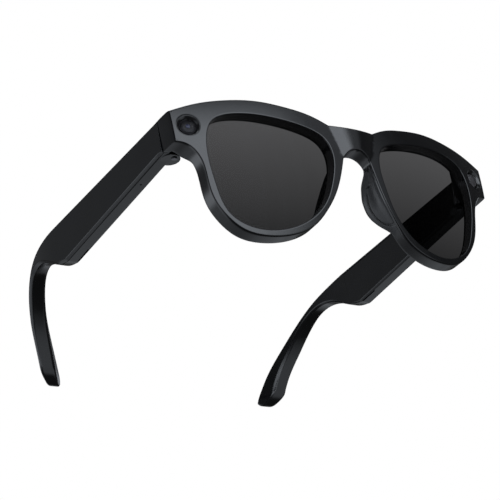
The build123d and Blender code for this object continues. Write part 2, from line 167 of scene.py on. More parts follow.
def arc_through(a, middle, b, step):
    """Points about step apart on the circular arc from a over middle to b."""
    (ax, ay), (mx, my), (bx, by) = a, middle, b
    d = 2 * (ax * (my - by) + mx * (by - ay) + bx * (ay - my))
    sa, sm, sb = ax * ax + ay * ay, mx * mx + my * my, bx * bx + by * by
    cx = (sa * (my - by) + sm * (by - ay) + sb * (ay - my)) / d
    cy = (sa * (bx - mx) + sm * (ax - bx) + sb * (mx - ax)) / d
    radius = math.hypot(ax - cx, ay - cy)
    angle = [math.atan2(y - cy, x - cx) for x, y in (a, middle, b)]
    turn = (angle[2] - angle[0]) % (2 * math.pi)
    if (angle[1] - angle[0]) % (2 * math.pi) > turn:
        turn -= 2 * math.pi
    pieces = max(2, round(abs(turn) * radius / step))
    a = angle[0] + turn * np.arange(pieces + 1) / pieces
    return np.stack([cx + radius * np.cos(a), cy + radius * np.sin(a)], axis=1)


def chain(*runs):
    """Closed loop from runs that follow each other, without the doubled joints."""
    return np.vstack([run[:-1] for run in runs])


def front_loop(step=0.5):
    """Outer outline of the front as a closed loop of (x, z)."""
    brow = smooth_curve(BROW, step)
    side = straight(BROW[-1], RIM[0], step)
    rim = smooth_curve(RIM, step)
    arch = arc_through(RIM[-1], (0.0, ARCH_TOP), (-RIM[-1][0], RIM[-1][1]), step)
    flip = np.array((-1.0, 1.0))
    top = straight(BROW[0] * flip, BROW[0], step)
    top[:, 1] -= BRIDGE_DIP * (1 - (top[:, 0] / BROW[0][0]) ** 2)
    return chain(brow, side, rim, arch, rim[::-1] * flip, side[::-1] * flip, brow[::-1] * flip, top)


def lens_loop(grow=0.0, step=0.5):
    """Left lens opening, or the same shape larger all round by about grow."""
    points = [(36.0 + (x - 36.0) * (1 + grow / 25.0), 20.5 + (z - 20.5) * (1 + grow / 23.0))
              for x, z in LENS]
    return smooth_curve(points, step, closed=True)


def even_loop(loop, count):
    """The same closed loop with count points, evenly spaced from its first point."""
    closed = np.vstack([loop, loop[:1]])
    length = np.concatenate([[0.0], np.cumsum(np.linalg.norm(np.diff(closed, axis=0), axis=1))])
    wanted = np.arange(count) * length[-1] / count
    return np.stack([np.interp(wanted, length, closed[:, k]) for k in (0, 1)], axis=1)


def signed_area(loop):
    following = np.roll(loop, -1, axis=0)
    return float(np.sum(loop[:, 0] * following[:, 1] - following[:, 0] * loop[:, 1])) / 2


def inset_rays(loop):
    """For each point of a loop, the move that shifts both its edges inwards by one millimetre."""
    ahead = np.roll(loop, -1, axis=0) - loop
    ahead /= np.linalg.norm(ahead, axis=1)[:, None]
    behind = np.roll(ahead, 1, axis=0)
    side = 1.0 if signed_area(loop) > 0 else -1.0
    normal = np.stack([-ahead[:, 1], ahead[:, 0]], axis=1) * side
    other = np.stack([-behind[:, 1], behind[:, 0]], axis=1) * side
    ray = normal + other
    share = np.sum(ray * normal, axis=1)
    return ray / np.maximum(share, 0.35)[:, None]


def within(points, loop):
    """Which points lie inside a loop."""
    x, y = points[:, 0][:, None], points[:, 1][:, None]
    a, b = loop, np.roll(loop, -1, axis=0)
    crosses = (a[:, 1] > y) != (b[:, 1] > y)
    rise = np.where(b[:, 1] == a[:, 1], 1e-12, b[:, 1] - a[:, 1])
    left = x < (b[:, 0] - a[:, 0]) * (y - a[:, 1]) / rise + a[:, 0]
    return np.sum(crosses & left, axis=1) % 2 == 1


def ease(value):
    """Smooth step from 0 to 1."""
    t = np.clip(value, 0.0, 1.0)
    return t * t * (3 - 2 * t)


# ---------------------------------------------------------------- meshes

class Skin:
    """Collects the points and faces of one mesh, in millimetres as worn."""

    def __init__(self):
        self.points = []
        self.faces = []

    def add(self, points):
        first = len(self.points)
        self.points.extend(np.asarray(points, float).tolist())
        return np.arange(first, len(self.points))

    def band(self, a, b, closed=True):
        """Faces between two rings of equal length."""
        last = len(a) if closed else len(a) - 1
        for i in range(last):
            j = (i + 1) % len(a)
            self.faces.append((a[i], a[j], b[j], b[i]))

    def bands(self, rings):
        """Faces between each ring and the next."""
        for a, b in zip(rings[:-1], rings[1:]):
            self.band(a, b)

    def fan(self, ring, point):
        centre = self.add([point])[0]
        for i in range(len(ring)):
            self.faces.append((ring[i], ring[(i + 1) % len(ring)], centre))

    def fill(self, rings, flats, lift, spacing, lines=(), denser=None):
        """Faces over the area inside the first ring and outside the others.

        flats are the rings' own plane points, lift turns plane points into space points,
        lines are creases between ring points, and denser adds plane points where needed.
        """
        flat = np.vstack(flats)
        index = list(np.concatenate(rings))
        edges, start = [], 0
        for ring in rings:
            edges += [(start + i, start + (i + 1) % len(ring)) for i in range(len(ring))]
            start += len(ring)
        extra = []
        for a, b in lines:
            i = int(np.argmin(np.linalg.norm(flat - a, axis=1)))
            j = int(np.argmin(np.linalg.norm(flat - b, axis=1)))
            middle = straight(flat[i], flat[j], spacing)[1:-1]
            ids = [i] + [len(flat) + len(extra) + k for k in range(len(middle))] + [j]
            edges += list(zip(ids[:-1], ids[1:]))
            extra += list(middle)
        fixed = np.vstack([flat, np.array(extra).reshape(-1, 2)])
        low, high = flats[0].min(0), flats[0].max(0)
        xs = np.arange(low[0], high[0], spacing)
        ys = np.arange(low[1], high[1], spacing * 0.866)
        grid = np.array([(x + (k % 2) * spacing / 2, y) for k, y in enumerate(ys) for x in xs])
        if denser is not None:
            grid = np.vstack([grid, denser])
        grid = grid[within(grid, flats[0])]
        for hole in flats[1:]:
            grid = grid[~within(grid, hole)]
        clear = [np.linalg.norm(fixed - point, axis=1).min() > 0.3 for point in grid]
        grid = grid[np.array(clear, bool)]
        inner = np.vstack([np.array(extra).reshape(-1, 2), grid])
        index += list(self.add(lift(inner)))
        every = np.vstack([flat, inner])
        made = delaunay_2d_cdt([Vector(p) for p in every], edges, [], 0, 1e-6)
        where = [origin[0] if origin else -1 for origin in made[3]]
        middles = np.array([np.mean([made[0][v] for v in tri], axis=0) for tri in made[2]])
        keep = within(middles, flats[0])
        for hole in flats[1:]:
            keep &= ~within(middles, hole)
        for tri, wanted in zip(made[2], keep):
            corners = [where[v] for v in tri]
            if wanted and min(corners) >= 0:
                self.faces.append(tuple(index[v] for v in corners))

    def build(self, name, mirrored=False, sharp=32.0):
        """Object in the row frame, in metres."""
        p = np.array(self.points)
        if mirrored:
            p = p * (-1.0, 1.0, 1.0)
        mesh = bpy.data.meshes.new(name)
        mesh.from_pydata(to_row(p), [], [[int(v) for v in face] for face in self.faces])
        return tidy_object(name, mesh, sharp)


def to_row(points):
    """Worn millimetres to row metres."""
    c, s = math.cos(STAND_TILT), math.sin(STAND_TILT)
    turn = np.array([[1, 0, 0], [0, c, s], [0, -s, c]])
    return (np.asarray(points, float) - HINGE) @ turn.T / 1000 + np.array(hinge_joint["pos_m"])


def tidy_object(name, mesh, sharp):
    """Object with welded points, outward faces and smooth shading up to the sharp angle."""
    work = bmesh.new()
    work.from_mesh(mesh)
    bmesh.ops.remove_doubles(work, verts=work.verts, dist=2e-7)
    bmesh.ops.dissolve_degenerate(work, edges=work.edges, dist=1e-7)
    loose = [v for v in work.verts if not v.link_faces]
    bmesh.ops.delete(work, geom=loose, context="VERTS")
    bmesh.ops.recalc_face_normals(work, faces=work.faces)
    work.to_mesh(mesh)
    work.free()
    mesh.shade_smooth()
    mesh.set_sharp_from_angle(angle=math.radians(sharp))
    made = bpy.data.objects.new(name, mesh)
    bpy.context.scene.collection.objects.link(made)
    return made


def combine(target, other, operation, sharp=32.0):
    """Applies a boolean of target with other, and removes other."""
    modifier = target.modifiers.new("cut", "BOOLEAN")
    modifier.operation = operation
    modifier.solver = "EXACT"
    modifier.object = other
    graph = bpy.context.evaluated_depsgraph_get()
    mesh = bpy.data.meshes.new_from_object(target.evaluated_get(graph))
    target.modifiers.clear()
    name = target.name
    bpy.data.objects.remove(target)
    bpy.data.objects.remove(other)
    return tidy_object(name, mesh, sharp)


def turned(profile, axis_at, segments=64):
    """Skin of a profile of (radius, height) pairs turned about an axis; axis_at places it."""
    skin = Skin()
    angle = np.arange(segments) * 2 * math.pi / segments
    rings = []
    for radius, height in profile:
        if radius < 1e-6:
            skin.fan(rings[-1], axis_at(np.zeros(1), np.zeros(1), height)[0])
            return skin
        rings.append(skin.add(axis_at(radius * np.cos(angle), radius * np.sin(angle), height)))
        if len(rings) > 1:
            skin.band(rings[-2], rings[-1])
    return skin


# ---------------------------------------------------------------- front

def face_y(x, z, depth):
    """Y of the front surface moved in by depth."""
    radius = BROW_RADIUS - depth
    profile = FACE_Y + BROW_RADIUS - np.sqrt(radius ** 2 - (z - BROW_Z) ** 2)
    reach = FACE_RADIUS + FACE_Y - profile
    return FACE_RADIUS + FACE_Y - np.sqrt(reach ** 2 - x ** 2)


def bulge(x, z):
    """Keystone swelling of the bridge, narrower towards the nose arch."""
    share = np.clip((z - 27.0) / 17.0, 0.0, 1.0)
    half = 5.6 + 5.2 * share
    rise = BRIDGE_BULGE * (0.75 + 0.25 * share)
    return rise * np.clip(1 - (x / half) ** 2, 0.0, None)


def housing_share(x, z):
    """1 on the end-piece housing, 0 on the thin rim, easing over its inner wall and its lower swoop."""
    along = (np.abs(x) - HOUSING_SWOOP[0]) * 0.66 + (z - HOUSING_SWOOP[1]) * 0.75
    return ease((np.abs(x) - HOUSING_INNER_X) / 0.7) * ease(along / 6.5)


def rear_y(x, z):
    """Y of the front's rear side: the rim's rear face, raised to the housing at the end-pieces."""
    rim = face_y(x, z, RIM_DEPTH)
    lip = ease((np.abs(x) - HOUSING_LIP_X) / 0.3)
    housing = HOUSING_RELIEF_Y + (HOUSING_REAR_Y - HOUSING_RELIEF_Y) * lip
    return rim + (housing - rim) * housing_share(x, z)


def placed(flat, y):
    """Plane points of (x, z) at the given Y."""
    return np.stack([flat[:, 0], y, flat[:, 1]], axis=1)


def at_depth(flat, depth):
    """Plane points on the front surface moved in by depth."""
    return placed(flat, face_y(flat[:, 0], flat[:, 1], depth))


def swollen(flat, depth=0.0):
    """Plane points on the same surface with the swelling of the bridge."""
    return placed(flat, face_y(flat[:, 0], flat[:, 1], depth) - bulge(flat[:, 0], flat[:, 1]))


def rounding(radius, steps):
    """(inset, depth) pairs of a rounded edge, from the face round to the wall."""
    angle = np.arange(steps + 1) / steps * math.pi / 2
    return [(radius * (1 - math.sin(a)), radius * (1 - math.cos(a))) for a in angle]


def eye_frame(side=1.0):
    """Places points given in millimetres across and above the eye window."""
    rise = (EYE_Z - BROW_Z) / BROW_RADIUS
    profile = FACE_Y + BROW_RADIUS * (1 - math.sqrt(1 - rise * rise))
    reach = FACE_RADIUS + FACE_Y - profile
    turn = math.asin(EYE_X / reach)
    level = math.sqrt(1 - rise * rise)
    normal = np.array([math.sin(turn) * level, -math.cos(turn) * level, rise])
    across = np.array([math.cos(turn), math.sin(turn), 0.0])
    upward = np.cross(across, normal)
    centre = np.array([EYE_X, float(face_y(EYE_X, EYE_Z, 0.0)), EYE_Z])

    def axis_at(a, b, height):
        points = centre + np.outer(a, across) + np.outer(b, upward) + height * normal
        return points * (side, 1.0, 1.0)

    return axis_at


def end_flare(loop, y):
    """Plane shift that leads the end-piece out to the temple's side and down to its top."""
    x, z = loop[:, 0], loop[:, 1]
    share = ease((y - 9.0) / 10.0)
    on_side = ease((np.abs(x) - 72.0) / 0.35)
    out = np.sign(x) * (TEMPLE_OUTER_X - 0.05 - 73.0) * on_side * share
    brow_drop = np.clip((z - 43.9) - 0.167 * (73.0 - np.abs(x)), 0.0, None)
    down = -brow_drop * ease((np.abs(x) - HOUSING_INNER_X) / 0.7) * share * (z > 40)
    return np.stack([out, down], axis=1)


def front_shell():
    """One-piece front: rims, bridge and end-piece housings, with rounded edges."""
    skin = Skin()
    loop = front_loop()
    ray = inset_rays(loop)
    x, z = loop[:, 0], loop[:, 1]
    rear = rear_y(x, z)
    edge = 0.5
    rows, first, flat_first = [], None, None
    for inset, depth in [(edge + 0.25, 0.0)] + rounding(edge, 6):
        flat = loop + ray * inset
        rows.append(skin.add(swollen(flat, depth)))
        if first is None:
            first, flat_first = rows[0], flat
    front_wall = face_y(x, z, edge) - bulge(x, z)
    rear_edge = 0.5 - 0.35 * ease((np.abs(x) - 71.5) / 0.8)
    for share in np.arange(1, 9) / 8:
        y = front_wall + (rear - rear_edge - front_wall) * share
        flat = loop + end_flare(loop, y)
        rows.append(skin.add(placed(flat, y)))
    base = loop + end_flare(loop, rear)
    for inset, depth in rounding(1.0, 4)[::-1][1:] + [(1.3, 0.0)]:
        flat = base + ray * (rear_edge * inset)[:, None]
        rows.append(skin.add(np.stack([flat[:, 0], rear - rear_edge * depth, flat[:, 1]], axis=1)))
    last, flat_last = rows[-1], flat
    skin.bands(rows)

    lens_front, lens_flat, lens_back, lens_back_flat = [], [], [], []
    for side in (1.0, -1.0):
        opening = lens_loop() * (side, 1.0)
        outward = -inset_rays(opening)
        rim_rows = []
        for inset, depth in [(0.7, 0.0)] + rounding(0.5, 5):
            flat = opening + outward * inset
            rim_rows.append(skin.add(at_depth(flat, depth)))
            if len(rim_rows) == 1:
                lens_flat.append(flat)
        for depth in (1.6, 2.9, COVER_SEAT):
            rim_rows.append(skin.add(at_depth(opening, depth)))
        skin.bands(rim_rows)
        lens_front.append(rim_rows[0])
        lens_back.append(rim_rows[-1])
        lens_back_flat.append(opening)

    eye_rings, eye_flats = [], []
    angle = np.arange(72) * 2 * math.pi / 72
    for side in (1.0, -1.0):
        axis_at = eye_frame(side)
        rings = []
        for radius, height in ((EYE_RADIUS + 0.6, 0.0), (EYE_RADIUS + 0.2, 0.0), (EYE_RADIUS + 0.08, -0.02),
                               (EYE_RADIUS + 0.04, -0.08), (EYE_RADIUS + 0.04, -2.6)):
            points = axis_at(radius * np.cos(angle), radius * np.sin(angle), height)
            if height == 0.0:
                points[:, 1] = face_y(points[:, 0], points[:, 2], 0.0)
            if not rings:
                eye_flats.append(points[:, [0, 2]])
            rings.append(skin.add(points))
        skin.bands(rings)
        skin.fan(rings[-1], axis_at(np.zeros(1), np.zeros(1), -2.6)[0])
        eye_rings.append(rings[0])

    creases = [(np.array((s * 10.25, 42.0)), np.array((s * 6.05, 28.6))) for s in (1, -1)]
    skin.fill([first, *lens_front, *eye_rings], [flat_first, *lens_flat, *eye_flats], swollen, 1.5, creases)

    # the rear cover's rebate: its edge, its wall and its seat round the lenses
    outer, seat = cover_loop(0.0), []
    for depth in (RIM_DEPTH, COVER_SEAT):
        seat.append(skin.add(at_depth(outer, depth)))
    skin.band(seat[0], seat[1])

    def on_rear(points):
        return placed(points, rear_y(points[:, 0], points[:, 1]))

    steep = np.array([(s * sx, sz) for s in (1, -1) for sx in np.arange(61.45, 62.5, 0.16)
                      for sz in np.arange(20.0, 48.0, 0.5)])
    lip = np.array([(s * sx, sz) for s in (1, -1) for sx in (70.55, 70.65, 70.75, 70.85, 70.95)
                    for sz in np.arange(28.0, 46.0, 0.6)])
    swoop = np.array([(s * sx, sz) for s in (1, -1) for sx in np.arange(62.5, 70.0, 0.7)
                      for sz in np.arange(21.0, 34.0, 0.7)])
    skin.fill([last, seat[0]], [flat_last, outer], on_rear, 1.2, denser=np.vstack([steep, lip, swoop]))
    skin.fill([seat[1], *lens_back], [outer, *lens_back_flat],
              lambda points: at_depth(points, COVER_SEAT), 2.5)
    return skin.build("front_shell", sharp=38.0)


def cover_loop(gap):
    """Outline of the rear cover, inside the rim's edge and short of the housings."""
    loop = front_loop()
    shape = loop + inset_rays(loop) * (1.15 + gap)
    limit = COVER_EDGE_X - gap
    inside = np.abs(shape[:, 0]) <= limit
    kept, count = [], len(shape)
    start = next(i for i in range(count) if inside[i] and not inside[i - 1])
    was_inside = True
    for k in range(count):
        i = (start + k) % count
        if inside[i]:
            if not was_inside:
                kept.append((np.sign(shape[i, 0]) * limit, shape[i, 1]))
            kept.append(tuple(shape[i]))
        elif was_inside:
            kept.append((np.sign(shape[i - 1, 0]) * limit, shape[i - 1, 1]))
        was_inside = inside[i]
    kept.append((np.sign(shape[start, 0]) * limit, shape[start, 1]))
    shape = np.array(kept)
    spread = [shape[0]]
    for a, b in zip(shape, np.roll(shape, -1, axis=0)):
        spread.extend(straight(a, b, 0.6)[1:])
    spread = np.array(spread[:-1])
    apart = np.linalg.norm(spread - np.roll(spread, 1, axis=0), axis=1) > 0.02
    return spread[apart]


def rear_cover():
    """Plate that closes the back of the rims and holds the lenses."""
    skin = Skin()
    outer = cover_loop(0.09)
    thickness = RIM_DEPTH - COVER_SEAT - COVER_GAP
    ray = inset_rays(outer)
    rows = []
    for depth_from_rear, inset in ((thickness, 0.0), (0.2, 0.0), (0.06, 0.06), (0.0, 0.2), (0.0, 0.32)):
        flat = outer + ray * inset
        rows.append(skin.add(at_depth(flat, RIM_DEPTH - depth_from_rear)))
    flat_far = flat
    skin.bands(rows)
    near, near_flat, far, far_flat = [], [], [], []
    for side in (1.0, -1.0):
        opening = lens_loop() * (side, 1.0)
        outward = -inset_rays(opening)
        rings = []
        for depth_from_rear, inset in ((thickness, 0.0), (0.25, 0.0), (0.07, 0.06), (0.0, 0.22)):
            flat = opening + outward * inset
            rings.append(skin.add(at_depth(flat, RIM_DEPTH - depth_from_rear)))
        skin.bands(rings)
        near.append(rings[0])
        near_flat.append(opening)
        far.append(rings[-1])
        far_flat.append(flat)

    skin.fill([rows[-1], *far], [flat_far, *far_flat], lambda points: at_depth(points, RIM_DEPTH), 1.6)
    skin.fill([rows[0], *near], [outer, *near_flat],
              lambda points: at_depth(points, COVER_SEAT + COVER_GAP), 3.0)
    return skin.build("back_cover", sharp=38.0)


def lens(side):
    """Curved sun lens, its edge hidden in the rim."""
    skin = Skin()
    loop = lens_loop(0.25, 0.8) * (side, 1.0)
    rings = []
    for depth in (LENS_NEAR, LENS_FAR):
        rings.append(skin.add(at_depth(loop, depth)))
    skin.band(rings[0], rings[1])
    for ring, depth in zip(rings, (LENS_NEAR, LENS_FAR)):
        skin.fill([ring], [loop], lambda points, depth=depth: at_depth(points, depth), 2.0)
    name = "sun_lens_left" if side > 0 else "sun_lens_right"
    return skin.build(name, sharp=50.0)


def nose_pad(side):
    """Moulded pad that grows out of the rim beside the nose, with a seam arc and a vent mark."""
    edge = smooth_curve(RIM, 0.22)
    edge = edge[(edge[:, 0] < 20.5) & (edge[:, 1] < 27.6)][::-1]
    ahead = np.gradient(edge, axis=0)
    ahead /= np.linalg.norm(ahead, axis=1)[:, None]
    outward = np.stack([ahead[:, 1], -ahead[:, 0]], axis=1)
    level = edge[:, 1]
    swell = np.interp(level, [3.0, 5.0, 8.0, 11.0, 14.0, 18.5, 23.5, 26.5],
                      [0.0, 0.4, 1.2, 1.8, 2.1, 1.8, 0.8, 0.0])
    deep = np.interp(level, [1.0, 3.0, 5.0, 8.0, 11.0, 14.0, 18.5, 23.5, 26.0, 27.5],
                     [4.9, 5.1, 6.2, 8.8, 10.8, 11.8, 11.8, 10.0, 7.2, 4.9])
    for _ in range(40):
        swell = np.convolve(np.pad(swell, 1, "edge"), [0.25, 0.5, 0.25], "valid")
        deep = np.convolve(np.pad(deep, 1, "edge"), [0.25, 0.5, 0.25], "valid")
    skin, previous = Skin(), None
    for point, way, out, far, z in zip(edge, outward, swell, deep, level):
        run = far - 1.1
        section = smooth_curve([(-0.8, 0.7), (0.02 * out - 0.05, 1.1), (0.30 * out - 0.05, 1.1 + 0.22 * run),
                                (0.60 * out - 0.05, 1.1 + 0.44 * run), (0.88 * out - 0.05, 1.1 + 0.66 * run),
                                (0.84 * out - 0.1, 1.1 + 0.88 * run), (-1.0, far), (-2.5, 1.1 + 0.88 * run),
                                (-2.7, 1.1 + 0.6 * run), (-2.3, 1.1 + 0.3 * run), (-1.5, 1.4)],
                               0.24, closed=True)
        section = even_loop(section, 160)
        behind = section[:, 1]
        along = np.hypot((z - 14.8) / 8.8, (behind - 1.6) / 6.0)
        lower = ease((20.5 - z) / 2.0) * (section[:, 0] > -1.0)
        seam = 0.45 * np.exp(-((along - 1.0) / 0.032) ** 2) * lower
        mark = ((behind - 5.0) / 0.6) ** 2 + ((z - 21.5) / 0.24) ** 2
        vent = 0.5 * np.exp(-mark) * (section[:, 0] > -0.5)
        flat = point + np.outer(section[:, 0] - seam - vent, way)
        front = face_y(flat[:, 0], flat[:, 1], 0.0)
        ring = skin.add(np.stack([flat[:, 0] * side, front + behind, flat[:, 1]], axis=1))
        if previous is None:
            skin.faces.append(tuple(ring))
        else:
            skin.band(previous, ring)
        previous = ring
    skin.faces.append(tuple(previous))
    return skin.build("soft_pad_left" if side > 0 else "soft_pad_right", sharp=60.0)


def dome(radius, foot, rise, steps=14):
    """Profile of a shallow dome of the given rise above its foot."""
    angle = np.linspace(0.0, math.pi / 2, steps)
    return [(radius * math.cos(a), foot + rise * math.sin(a)) for a in angle[:-1]] + [(0.0, foot + rise)]


def eye_pieces(side, label):
    """Ring, domed window, funnel and inner lens of one eye; the status eye has a wide diffuser instead."""
    axis_at = eye_frame(side)
    ring = [(4.5, -2.4), (4.5, -0.16), (4.47, -0.06), (4.4, -0.03), (4.3, -0.05), (4.22, -0.1), (3.42, -0.78),
            (3.34, -0.88), (3.3, -1.0), (3.3, -2.4), (4.5, -2.4)]
    window = [(3.28, -1.5), (3.28, -0.8)] + dome(3.28, -0.75, 0.85)
    if label == "camera_eye":
        funnel = [(3.1, -1.2), (2.5, -0.85), (2.4, -1.0), (1.75, -0.8), (1.65, -0.95),
                  (1.05, -0.75), (1.0, -1.3), (0.0, -1.35)]
        pupil = [(0.98, -1.2)] + dome(0.95, -0.95, 0.35)
    else:
        funnel = [(3.1, -1.3), (2.9, -1.35), (2.8, -2.0), (0.0, -2.1)]
        pupil = [(2.6, -2.0)] + dome(2.6, -1.5, 0.7)
    made = []
    for name, profile in (("ring", ring), ("window", window), ("funnel", funnel), ("pupil", pupil)):
        piece = turned(profile, axis_at, 96).build(f"{label}_{name}", sharp=40.0)
        made.append(piece)
    return made


# ---------------------------------------------------------------- temples

def temple_side_loop(step=0.6):
    """Left temple seen from the side as a closed loop of (y, z), with an edge label for each point."""
    top = straight((TEMPLE_FRONT_Y, 44.2), (106.0, 45.2), 1.0)
    tip = smooth_curve([(106.0, 45.2), (118.0, 44.3), (129.4, 41.4), (139.8, 35.1), (148.8, 25.9),
                        (155.9, 15.4), (161.3, 3.6)], step, start=(1.0, 0.01), end=(0.42, -0.91))
    end = smooth_curve([(161.3, 3.6), (160.6, 2.4), (159.2, 1.95), (157.4, 3.0), (155.6, 5.0), (154.2, 7.4)], 0.4)
    lower = smooth_curve([(154.2, 7.4), (151.6, 14.2), (145.7, 24.0), (139.0, 32.0), (132.5, 36.6),
                          (125.0, 37.9), (117.0, 35.6), (110.6, 31.8), (104.6, 28.3), (98.5, 26.5)], step)
    bottom = straight((98.5, 26.5), (TEMPLE_FRONT_Y, 30.7), 1.0)
    front = straight((TEMPLE_FRONT_Y, 30.7), (TEMPLE_FRONT_Y, 44.2), step)
    runs = (("top", top), ("top", tip), ("end", end), ("lower", lower), ("bottom", bottom), ("front", front))
    labels = [label for label, run in runs for _ in run[:-1]]
    return chain(*[run for _, run in runs]), labels


def plan_curves():
    """Outer and inner X of the temple for a given Y."""
    outer = np.vstack([straight((TEMPLE_OUTER_X, TEMPLE_FRONT_Y), (75.1, 105.0), 1.0)[:-1],
                       smooth_curve([(75.1, 105.0), (74.9, 119.0), (73.2, 131.0), (69.6, 142.9), (63.6, 153.6),
                                     (56.5, 162.5)], 0.5, start=(0.018, 1.0), end=(-0.66, 0.75))])
    inner = np.vstack([straight((TEMPLE_OUTER_X - TEMPLE_THICK, TEMPLE_FRONT_Y), (75.1 - TEMPLE_THICK, 105.0),
                                1.0)[:-1],
                       smooth_curve([(75.1 - TEMPLE_THICK, 105.0), (68.3, 119.0), (66.4, 130.5), (62.5, 142.0),
                                     (56.6, 152.0), (49.4, 161.0)], 0.5, start=(0.018, 1.0), end=(-0.66, 0.75))])
    return outer, inner


def temple_lift(outer, inner):
    """Places side-view points at a share of the temple's thickness, 0 on the outer face."""
    def lift(flat, depth):
        y = flat[:, 0]
        outside = np.interp(y, outer[:, 1], outer[:, 0])
        inside = np.interp(y, inner[:, 1], inner[:, 0])
        beyond = np.clip(y - inner[-1, 1], 0.0, None)
        inside = inside - beyond * 0.88 - 0.5 * ease((y - 146.0) / 14.0)
        outside = outside - 1.5 * ease((y - 146.0) / 14.0)
        taper = ease((8.5 - flat[:, 1]) / 7.5) ** 2 * (y > 148)
        outside = outside - 1.2 * taper
        inside = inside + 1.0 * taper
        return np.stack([outside + (inside - outside) * depth / TEMPLE_THICK, y, flat[:, 1]], axis=1)
    return lift


def temple_form(name, mirrored):
    """Whole temple with a chamfer along its lower outer edge and rounded edges elsewhere."""
    loop, labels = temple_side_loop()
    ray = inset_rays(loop)
    lift = temple_lift(*plan_curves())
    width = {"top": 0.75, "end": 1.3, "lower": 1.2, "bottom": 1.0, "front": 0.08}
    round_share = {"top": 1.0, "end": 1.0, "lower": 0.15, "bottom": 0.1, "front": 0.5}
    inner_width = {"top": 0.6, "end": 0.9, "lower": 0.9, "bottom": 0.8, "front": 0.08}

    def softened(values):
        value = np.array([values[label] for label in labels])
        for _ in range(4):
            value = (np.roll(value, 1) + 2 * value + np.roll(value, -1)) / 4
        return value

    outer_w, inner_w, soft = softened(width), softened(inner_width), softened(round_share)
    skin = Skin()
    rows, flats = [], []

    def edge_rows(w):
        for k, (flat_inset, flat_depth) in enumerate(CHAMFER):
            angle = k / (len(CHAMFER) - 1) * math.pi / 2
            inset = w * (flat_inset + (1 - math.sin(angle) - flat_inset) * soft)
            depth = w * (flat_depth + (1 - math.cos(angle) - flat_depth) * soft)
            yield inset, depth

    def put(inset, depth):
        flat = loop + ray * inset[:, None]
        flats.append(flat)
        rows.append(skin.add(lift(flat, depth)))

    put(outer_w * 1.1 + 0.2, outer_w * 0)
    for inset, depth in edge_rows(outer_w):
        put(inset, depth)
    for share in (0.08, 0.5, 0.92):
        put(outer_w * 0, outer_w + (TEMPLE_THICK - outer_w - inner_w) * share)
    for inset, depth in reversed(list(edge_rows(inner_w))):
        put(inset, TEMPLE_THICK - depth)
    put(inner_w * 1.1 + 0.2, outer_w * 0 + TEMPLE_THICK)
    skin.bands(rows)
    skin.fill([rows[0]], [flats[0]], lambda p: lift(p, np.zeros(len(p))), 1.3)
    skin.fill([rows[-1]], [flats[-1]], lambda p: lift(p, np.full(len(p), TEMPLE_THICK)), 1.0)
    return skin.build(name, mirrored, sharp=TEMPLE_SHARP)


def slab(name, mirrored, loop, depths):
    """Cutting form over a side-view loop, between two shares of the temple's thickness."""
    lift = temple_lift(*plan_curves())
    skin = Skin()
    rings = [skin.add(lift(loop, np.full(len(loop), depth))) for depth in depths]
    skin.bands(rings)
    for ring, depth in zip(rings, depths):
        skin.fill([ring], [loop], lambda p, depth=depth: lift(p, np.full(len(p), depth)), 6.0)
    return skin.build(name, mirrored)


def inner_block(name, mirrored, gap):
    """Cutting form: the part of the temple that belongs to the inner shell, grown by gap."""
    fore, low, high = 10.0, 20.0, 44.2 - COVER_WALL + gap
    rear, rear_high = COVER_ONLY_Y + gap / 4, 45.2 - COVER_WALL + gap
    corners = [(fore, low), (rear, low), (rear, rear_high), (TEMPLE_FRONT_Y, high), (fore, high - 0.1)]
    loop = chain(*[straight(a, b, 4.0) for a, b in zip(corners, corners[1:] + corners[:1])])
    return slab(name, mirrored, loop, (COVER_WALL - gap, 9.0))


def post(name, x, y, low, high, radius, mirrored, lean=0.0, edge=0.0, segments=64):
    """Upright round post, leaning about the hinge point, with an optional rounded lower edge."""
    profile = [(0.0, low), (radius - edge - 0.1, low), (radius - edge, low), (radius - edge * 0.3, low + edge * 0.3),
               (radius, low + edge), (radius, high), (0.0, high)]
    c, s = math.cos(lean), math.sin(lean)

    def axis_at(a, b, height):
        points = np.stack([x + a, y + b, np.full(len(a), height)], axis=1)
        rel = points - np.array(HINGE)
        turned_y = rel[:, 1] * c - rel[:, 2] * s
        turned_z = rel[:, 1] * s + rel[:, 2] * c
        return np.stack([rel[:, 0], turned_y, turned_z], axis=1) + np.array(HINGE)

    skin = Skin()
    angle = np.arange(segments) * 2 * math.pi / segments
    rings = [skin.add(axis_at(r * np.cos(angle), r * np.sin(angle), h)) for r, h in profile[1:-1]]
    skin.bands(rings)
    skin.fan(rings[0], axis_at(np.zeros(1), np.zeros(1), low)[0])
    skin.fan(rings[-1], axis_at(np.zeros(1), np.zeros(1), high)[0])
    return skin.build(name, mirrored)


def upright(name, flat, z, mirrored):
    """Form with upright walls over plane points of (x, y), between two z levels."""
    skin = Skin()
    rings = [skin.add(np.column_stack([flat, np.full(len(flat), level)])) for level in z]
    skin.bands(rings)
    for ring in rings:
        skin.faces.append(tuple(ring))
    return skin.build(name, mirrored)


def block(name, x, y, z, mirrored):
    """Straight-sided block from three (low, high) pairs."""
    return upright(name, [(x[0], y[0]), (x[0], y[1]), (x[1], y[1]), (x[1], y[0])], z, mirrored)


def capsule(name, x, y, z, length, width, mirrored):
    """Cutting form with rounded ends along Y, upright between the two z levels."""
    radius, reach = width / 2, (length - width) / 2
    turn = np.linspace(0.0, math.pi, 17)
    front = np.stack([x + radius * np.cos(turn), y + reach + radius * np.sin(turn)], axis=1)
    rear = np.stack([x - radius * np.cos(turn), y - reach - radius * np.sin(turn)], axis=1)
    return upright(name, np.vstack([front, rear]), z, mirrored)


